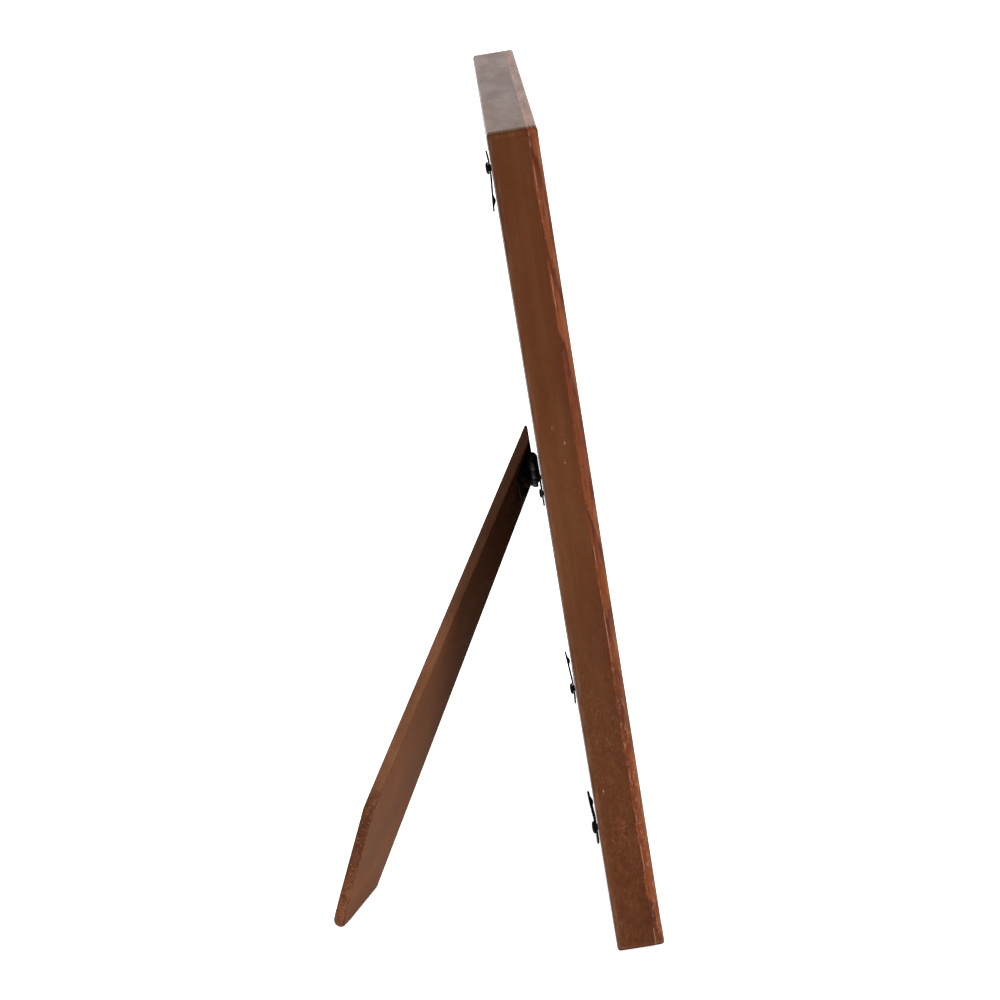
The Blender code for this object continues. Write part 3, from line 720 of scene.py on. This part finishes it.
def sheet_shape(low, high, round_off, wave):
    """Flat sheet with soft edges, bowed by less than a hair so that its gloss isn't perfect."""
    shape, wear = new_shape()
    inner = WEAR_REACH + round_off
    steps = 12
    rings = ((inner, 0, 0), (round_off, 0, 0), (0.3 * round_off, 0.3 * round_off, 1), (0, round_off, 1))
    layers = [(inset, low.y + drop, worn) for inset, drop, worn in rings]
    layers += [(inset, high.y - drop, worn) for inset, drop, worn in reversed(rings)]
    loops = []
    for inset, depth, worn in layers:
        left, right = low.x + inset, high.x - inset
        bottom, top = low.z + inset, high.z - inset
        corners = [(left, bottom), (right, bottom), (right, top), (left, top)]
        loop = []
        for index, (x, z) in enumerate(corners):
            next_x, next_z = corners[(index + 1) % 4]
            for step in range(steps):
                share = step / steps
                spot = Vector((x + share * (next_x - x), depth, z + share * (next_z - z)))
                spot.y += wave * noise.noise(25 * spot)
                vert = shape.verts.new(spot)
                vert[wear] = worn
                loop.append(vert)
        loops.append(loop)
    close(shape, loops)
    return shape


def build_sheets():
    sheets = (
        ("backing_board", "hardboard_back", "backing", 0.0004, 0.00005, hardboard),
        ("insert_sheet", "cream_insert", "paper", 0.0001, 0.00004, cream_paper),
        ("glass_pane", "clear_glass", "glass", 0.0003, 0.0, float_glass),
    )
    for index, (node, name, slot, round_off, wave, finish) in enumerate(sheets):
        low, high = spread(PANEL, node)
        mesh = finished_mesh(name, sheet_shape(low, high, round_off, wave))
        add_piece(name, mesh, PANEL, "frame", [node], slot, finish(name, index + 5, PANEL))


def build_nails():
    """V nails pressed flush across the mitres."""
    steel = nail_steel("nail_steel", 3, PANEL)
    corners = {"bottom_left": 0, "top_left": 90, "top_right": 180, "bottom_right": -90}
    for corner, turn in corners.items():
        for depth in ("outer", "inner"):
            node = f"v_nail_{corner}_{depth}"
            spin = Matrix.Rotation(math.radians(turn), 4, "Y")
            low, high = spread(PANEL @ spin, node)
            wing = high.x - low.x
            thick = NAIL_THICKNESS
            place = PANEL @ spin @ Matrix.Translation((low.x, 0, low.z))
            outline = rounded([(0, 0, thick / 2), (wing, 0, thick / 4), (wing, thick, thick / 4),
                               (thick, thick, 0), (thick, wing, thick / 4), (0, wing, thick / 4)])
            shape, wear = new_shape()
            rings = []
            for level in (low.y, NAIL_SHOULDER, NAIL_TOP):
                ring = [shape.verts.new((across, level, along)) for across, along, _ in outline]
                for vert in ring:
                    vert[wear] = float(level >= NAIL_SHOULDER)
                rings.append(ring)
            close(shape, rings)
            name = f"corner_nail_{corner}_{depth}"
            add_piece(name, finished_mesh(name, shape), place, "frame", [node], "nail_steel", steel)


# ---------------------------------------------------------------- strut and hinge


def strut_corners():
    """Corners of the strut's outline, where the long straight sides of the CAD board meet."""
    cad = frame["nodes"]["support_leg"].data
    outer = spread(STRUT, "support_leg")[1].y
    inverse = STRUT.inverted()
    points = [inverse @ vert.co for vert in cad.vertices]
    rim = set()
    for polygon in cad.polygons:
        spots = [points[index] for index in polygon.vertices]
        normal = (spots[1] - spots[0]).cross(spots[2] - spots[0]).normalized()
        if abs(normal.y) > 0.5:
            continue
        for first, second in zip(spots, spots[1:] + spots[:1]):
            flat = abs(first.y - outer) < 1e-5 and abs(second.y - outer) < 1e-5
            if flat and (second - first).length > LONG_SIDE:
                ends = sorted(((round(end.x, 6), round(end.z, 6)) for end in (first, second)))
                rim.add(tuple(ends))
    middle = Vector((0, 0.5 * min(min(end[1] for end in side) for side in rim)))
    sides = sorted(rim, key=lambda side: math.atan2(*((Vector(side[0]) + Vector(side[1])) / 2 - middle)))
    corners = []
    for index, side in enumerate(sides):
        lines = [Vector(end).to_3d() for end in (*sides[index - 1], *side)]
        corners.append(intersect_line_line(*lines)[0].to_2d())
    return corners


def strut_outline():
    """Rounded outline of the strut, cut into short steps so that its edge can be roughened."""
    corners = strut_corners()
    tip = min(corner.y for corner in corners)
    marked = []
    for corner in corners:
        radius = TOP_ROUND if corner.y > 0 else TIP_ROUND if corner.y == tip else FOOT_ROUND
        marked.append((*corner, radius))
    coarse = [Vector(point[:2]) for point in rounded(marked, steps=9)]
    outline = []
    for first, second in zip(coarse, coarse[1:] + coarse[:1]):
        steps = max(1, round((second - first).length / OUTLINE_STEP))
        outline += [first.lerp(second, step / steps) for step in range(steps)]
    return outline


def bevel_top(shape, wear):
    """Saw the top end off along the plane of the CAD board's bevel, parallel to the panel."""
    clearance = spread(PANEL, "support_leg")[0].y
    to_strut = STRUT.inverted() @ PANEL
    spot = to_strut @ Vector((0, clearance, FRAME_HEIGHT / 2))
    normal = to_strut.to_3x3() @ Vector((0, 1, 0))
    everything = [*shape.verts, *shape.edges, *shape.faces]
    cut = bmesh.ops.bisect_plane(shape, geom=everything, plane_co=spot, plane_no=normal,
                                 clear_inner=True)["geom_cut"]
    rim = [edge for edge in cut if isinstance(edge, bmesh.types.BMEdge)]
    for face in bmesh.ops.contextual_create(shape, geom=rim)["faces"]:
        face.material_index = 1
    softened = bmesh.ops.bevel(shape, geom=rim, offset=TOP_ARRIS, segments=2, affect="EDGES")
    for vert in softened["verts"]:
        vert[wear] = 1.0


def build_strut():
    low, high = spread(STRUT, "support_leg")
    outline = strut_outline()
    normals = inward_normals(outline)
    shape, wear = new_shape()
    tip = min(outline, key=lambda spot: spot.y)
    quarter = [math.radians(90) * step / 4 for step in range(5)]
    side = [(1.0, 0.0, WEAR_REACH, 0.0)]
    side += [(1 - math.sin(turn), 1 - math.cos(turn), 0.0, 1.0) for turn in quarter]
    levels = [(*stage, low.y, 1) for stage in side]
    levels += [(0.0, 0.0, 0.0, 0.3, low.y + share * (high.y - low.y), 0) for share in (0.4, 0.5, 0.6)]
    levels += [(*stage, high.y, -1) for stage in reversed(side)]
    rings = []
    for shrink, drop, reach, worn, base, towards in levels:
        ring = []
        for spot, normal in zip(outline, normals):
            rubbed = max(0.0, 1 - (spot - tip).length / TIP_WEAR_REACH)
            round_off = EDGE_ROUND + (TIP_WEAR - EDGE_ROUND) * rubbed ** 2
            level = base + towards * drop * round_off
            point = spot + (shrink * round_off + reach) * normal
            place = Vector((point.x, level, point.y))
            if worn:
                rough = noise.fractal(FUZZ_PER_METRE * place, 0.6, 2.0, 4)
                chip = max(0.0, noise.noise(CHIPS_PER_METRE * place) - 0.25)
                point += normal * EDGE_ROUGHNESS * (0.6 + rough + 3 * chip * worn)
            vert = shape.verts.new((point.x, level, point.y))
            vert[wear] = worn
            ring.append(vert)
        rings.append(ring)
    close(shape, rings)
    shape.faces.ensure_lookup_table()
    count = len(outline)
    for face in shape.faces[3 * count:(len(rings) - 4) * count]:
        face.material_index = 1
    bevel_top(shape, wear)
    mesh = finished_mesh("strut_board", shape, 60)
    add_piece("strut_board", mesh, STRUT, "leg", ["support_leg"], "leg_board",
              board_face("strut_face", 2, STRUT), board_edge("strut_edge", 4, STRUT))


def leaf_mesh(name, reach, half, radius, middle, towards):
    """Hinge leaf: a plate with round corners whose knuckles are rolled round the pin.

    towards is the side of the pin that the plate lies on: -1 the board, 1 the strut.
    """
    middle_line = radius - LEAF_THICKNESS / 2
    shoulder = -radius - 2 * KNUCKLE_GAP
    inner = MIDDLE_KNUCKLE / 2 + (-KNUCKLE_GAP / 2 if middle else KNUCKLE_GAP / 2)
    spans = [(-inner, inner)] if middle else [(inner, half), (-half, -inner)]
    round_ends = rounded([(-half, -reach, LEAF_CORNER), (half, -reach, LEAF_CORNER),
                          (half, reach, 0), (-half, reach, 0)], steps=7)[:-2]
    if middle:
        top = [(half, shoulder), (inner, shoulder), (inner, 0), (-inner, 0), (-inner, shoulder),
               (-half, shoulder)]
    else:
        top = [(half, 0), (inner, 0), (inner, shoulder), (-inner, shoulder), (-inner, 0), (-half, 0)]
    shape = bmesh.new()
    plate = [(x, z) for x, z, _ in round_ends] + top
    verts = {spot: shape.verts.new((spot[0], towards * middle_line, spot[1])) for spot in plate}
    shape.faces.new([verts[spot] for spot in plate])
    steps = 22
    for start, end in spans:
        edge = [verts[(start, 0)], verts[(end, 0)]]
        for step in range(1, steps + 1):
            turn = ROLL * step / steps
            depth = towards * middle_line * math.cos(turn)
            height = middle_line * math.sin(turn)
            following = [shape.verts.new((x, depth, height)) for x in (start, end)]
            shape.faces.new([edge[0], edge[1], following[1], following[0]])
            edge = following
    return finished_mesh(name, shape, 50)


def thicken(piece, thickness, edge):
    """Give an open surface its thickness, equally to both sides, and soft edges."""
    solid = piece.modifiers.new("thickness", "SOLIDIFY")
    solid.thickness = thickness
    solid.offset = 0
    solid.use_even_offset = True
    bevel = piece.modifiers.new("soft_edges", "BEVEL")
    bevel.width = edge
    bevel.segments = 2
    bevel.limit_method = "ANGLE"
    bevel.angle_limit = math.radians(50)


def round_head(radius, height):
    """Profile of a domed head that sits on z = 0, worn at its crown."""
    profile = []
    crown = 0.55
    steps = 9
    for step in range(steps + 1):
        turn = math.radians(90) * step / steps
        reach = radius * math.sin(turn)
        rise = height * (crown + (1 - crown) * math.cos(turn)) if step < steps else height * crown
        profile.append((reach, rise, 0.6 * math.cos(turn) ** 2))
    profile.append((radius, 0.12 * height, 0.5))
    profile.append((0.94 * radius, 0.0, 0.0))
    return profile


def build_hinge(steel):
    leaves = (
        ("hinge_leaf_board", "board_leaf", HINGE, "frame", False, -1),
        ("hinge_leaf_leg", "strut_leaf", STRUT, "leg", True, 1),
    )
    for node, name, place, body, middle, towards in leaves:
        low, high = spread(place, node)
        mesh = leaf_mesh(name, -low.z, high.x, high.z, middle, towards)
        piece = add_piece(name, mesh, place, body, [node], "black_steel", steel)
        thicken(piece, LEAF_THICKNESS, LEAF_EDGE)
    half = spread(HINGE, "hinge_pin")[1].x
    end = [(0, half, 0.8), (0.6 * PIN_RADIUS, half - 0.25 * PIN_DOME, 0.8),
           (PIN_RADIUS, half - PIN_DOME, 0.4)]
    far = [(radius, -height, worn) for radius, height, worn in reversed(end)]
    mesh = finished_mesh("hinge_pin_domed", turned(end + far, 32))
    place = HINGE @ Matrix.Rotation(math.radians(90), 4, "Y")
    add_piece("hinge_pin_domed", mesh, place, "frame", ["hinge_pin"], "black_steel", steel)
    rivets = (("board_rivet", HINGE, "frame", -90), ("leg_rivet", STRUT, "leg", 90))
    for kind, axes_of, body, turn in rivets:
        for side in ("left", "right"):
            node = f"{kind}_{side}"
            low, high = spread(axes_of, node)
            radius = (high.x - low.x) / 2
            facing = -math.copysign(1, turn)
            tail = high.y if facing < 0 else low.y
            seat = facing * (-spread(HINGE, "hinge_leaf_board")[1].z + LEAF_THICKNESS)
            crown = RIVET_CROWN
            length = abs(tail - seat) - crown * (facing < 0)
            profile = round_head(radius, crown)
            profile += [(0.55 * radius, 0.0, 0.0), (0.55 * radius, -length, 0.0)]
            if facing < 0:
                profile += [(0.92 * radius, -length, 0.2), (radius, -length - 0.3 * crown, 0.6),
                            (0.86 * radius, -length - 0.8 * crown, 0.8),
                            (0.62 * radius, -length - crown, 0.8),
                            (0.42 * radius, -length - 0.7 * crown, 0.2),
                            (0.30 * radius, -length - 0.1 * crown, 0.0)]
            profile.append((0, profile[-1][1], 0.0))
            spot = Vector(((low.x + high.x) / 2, seat, (low.z + high.z) / 2))
            place = axes_of @ Matrix.Translation(spot) @ Matrix.Rotation(math.radians(turn), 4, "X")
            name = f"{kind}_head_{side}"
            mesh = finished_mesh(name, turned(profile, 32), 40)
            add_piece(name, mesh, place, body, [node], "black_steel", steel)


# ---------------------------------------------------------------- turn buttons


def eased(value, low, high):
    """Straight rise from 0 to 1 with a soft start."""
    share = min(max((value - low) / (high - low), 0.0), 1.0)
    return share * min(1.0, 0.4 + 4 * share)


def button_mesh(name, low, high):
    """Bent spring strip: flat under its screw, lifted at both ends, with a pressed dimple."""
    shape, wear = new_shape()
    half = high.x
    seat = low.y + BUTTON_THICKNESS / 2
    lift = high.y - low.y - BUTTON_THICKNESS
    length = high.z - low.z
    columns = 48
    rows = 10
    grid = []
    for column in range(columns + 1):
        along = low.z + length * (1 - math.cos(math.pi * column / columns)) / 2
        width = half * (1 - (1 - BUTTON_TIP_WIDTH) * (along - low.z) / length)
        to_end = min(along - low.z, high.z - along, BUTTON_END_ROUND)
        chord = math.sqrt(BUTTON_END_ROUND ** 2 - (BUTTON_END_ROUND - to_end) ** 2)
        round_off = BUTTON_END_ROUND - chord
        rise = lift * eased(along, BUTTON_SEAT_END, high.z)
        rise += BUTTON_SHORT_LIFT * eased(-along, BUTTON_SEAT_END, -low.z)
        dip = lift * eased(BUTTON_DIMPLE_AT, BUTTON_SEAT_END, high.z)
        line = []
        for row in range(rows + 1):
            across = (2 * row / rows - 1) * (width - round_off)
            away = math.hypot(across, along - BUTTON_DIMPLE_AT) / BUTTON_DIMPLE_RADIUS
            press = max(0.0, 1 - away * away) ** 2
            vert = shape.verts.new((across, seat + rise - dip * press, along))
            vert[wear] = float(row in (0, rows) or column in (0, columns)) + 0.7 * press
            line.append(vert)
        grid.append(line)
    for first, second in zip(grid, grid[1:]):
        for row in range(rows):
            shape.faces.new((first[row], first[row + 1], second[row + 1], second[row]))
    return finished_mesh(name, shape, 60)


def cross_cutter(name, radius, top, depth):
    """Four-armed tapering driver recess."""
    shape = bmesh.new()
    for turn in (0, 90):
        spin = Matrix.Rotation(math.radians(turn), 4, "Z")
        made = bmesh.ops.create_cube(shape, size=1.0)["verts"]
        for vert in made:
            deep = vert.co.z < 0
            vert.co.x *= radius * (0.5 if deep else 1.15)
            vert.co.y *= radius * (0.20 if deep else 0.30)
            vert.co.z = top - depth if deep else top + depth
        bmesh.ops.transform(shape, matrix=spin, verts=made)
    return new_object(name, finished_mesh(name, shape))


def carved(mesh, cutters, sharp):
    """The mesh with closed cutters taken out of it."""
    body = new_object("carving", mesh)
    for cutter in cutters:
        boolean = body.modifiers.new(cutter.name, "BOOLEAN")
        boolean.operation = "DIFFERENCE"
        boolean.solver = "EXACT"
        boolean.use_self = True
        boolean.object = cutter
    bpy.context.view_layer.update()
    result = bpy.data.meshes.new_from_object(body.evaluated_get(bpy.context.evaluated_depsgraph_get()))
    for thing in (body, *cutters):
        bpy.data.objects.remove(thing, do_unlink=True)
    result.set_sharp_from_angle(angle=math.radians(sharp))
    return result


def screw_mesh(name, radius, crown, shank, reach):
    """Pan head with a driver recess, on a plain shank."""
    profile = [(0, crown, 0.3), (0.35 * radius, 0.97 * crown, 0.3), (0.62 * radius, 0.90 * crown, 0.3),
               (0.82 * radius, 0.76 * crown, 0.5), (0.94 * radius, 0.55 * crown, 0.7),
               (radius, 0.30 * crown, 0.6), (radius, 0.06 * crown, 0.3), (0.95 * radius, 0, 0.0),
               (shank, 0, 0.0), (shank, -0.8 * reach, 0.0), (0, -reach, 0.0)]
    head = finished_mesh(name, turned(profile), 40)
    return carved(head, [cross_cutter(f"{name}_recess", radius, crown, 0.65 * crown)], 40)


def build_buttons(steel):
    for side, turn in BUTTON_TURNS.items():
        node = f"turn_button_{side}"
        centre = PANEL.inverted() @ Vector(joint(f"button_turn_{side}")["pos_m"])
        pivot = PANEL @ Matrix.Translation(centre)
        place = pivot @ Matrix.Rotation(math.radians(turn), 4, "Y")
        low, high = spread(place, node)
        name = f"spring_button_{side}"
        piece = add_piece(name, button_mesh(name, low, high), place, f"button_{side}", [node],
                          "black_steel", steel)
        thicken(piece, BUTTON_THICKNESS, BUTTON_EDGE)
        node = f"button_screw_{side}"
        bottom, top = spread(pivot, node)
        plate = BUTTON_THICKNESS + low.y
        name = f"pan_screw_{side}"
        mesh = screw_mesh(name, top.x, top.y - plate - SCREW_SEAT, SCREW_SHANK, plate - bottom.y)
        lay = Matrix.Translation((0, plate + SCREW_SEAT, 0)) @ Matrix.Rotation(math.radians(-90), 4, "X")
        spin = Matrix.Rotation(math.radians(20 + 1.3 * turn), 4, "Z")
        add_piece(name, mesh, pivot @ lay @ spin, "frame", [node], "black_steel", steel)


# ---------------------------------------------------------------- studio


def add_floor():
    shape = bmesh.new()
    bmesh.ops.create_grid(shape, x_segments=4, y_segments=4, size=FLOOR_SIZE)
    mesh = finished_mesh("studio_floor", shape)
    floor = new_object("studio_floor", mesh)
    floor.location.z = FLOOR_LEVEL
    mesh.materials.append(pale_floor())


def add_light(name, place, target, size, power):
    light = bpy.data.lights.new(name, "AREA")
    light.shape = "SQUARE"
    light.size = size
    light.energy = power
    lamp = new_object(name, light)
    lamp.location = place
    lamp.rotation_mode = "QUATERNION"
    lamp.rotation_quaternion = (Vector(target) - Vector(place)).to_track_quat("-Z", "Y")


def add_world(strength):
    world = bpy.data.worlds.new("white_studio")
    world.use_nodes = True
    background = world.node_tree.nodes["Background"]
    background.inputs["Color"].default_value = (1, 1, 1, 1)
    background.inputs["Strength"].default_value = strength
    bpy.context.scene.world = world


def add_camera():
    camera = new_object("camera", bpy.data.cameras.new("camera"))
    camera.data.lens = CAMERA_LENS
    camera.data.sensor_width = 36.0
    look = CAMERA_LOOK.normalized()
    right = (CAMERA_RIGHT - look * CAMERA_RIGHT.dot(look)).normalized()
    turn = Matrix((right, right.cross(look), -look)).transposed()
    camera.matrix_world = Matrix.Translation(CAMERA_PLACE) @ turn.to_4x4()
    bpy.context.scene.camera = camera


add_camera()
add_floor()
add_world(WORLD_STRENGTH)
add_light("key", KEY_PLACE, KEY_TARGET, KEY_SIZE, KEY_POWER)
add_light("overhead", OVERHEAD_PLACE, (0, 0, 0), OVERHEAD_SIZE, OVERHEAD_POWER)
bpy.context.scene.view_settings.view_transform = "Standard"

STEEL = black_steel("black_steel", 1, PANEL)
build_sides()
build_sheets()
build_nails()
build_strut()
build_hinge(STEEL)
build_buttons(STEEL)
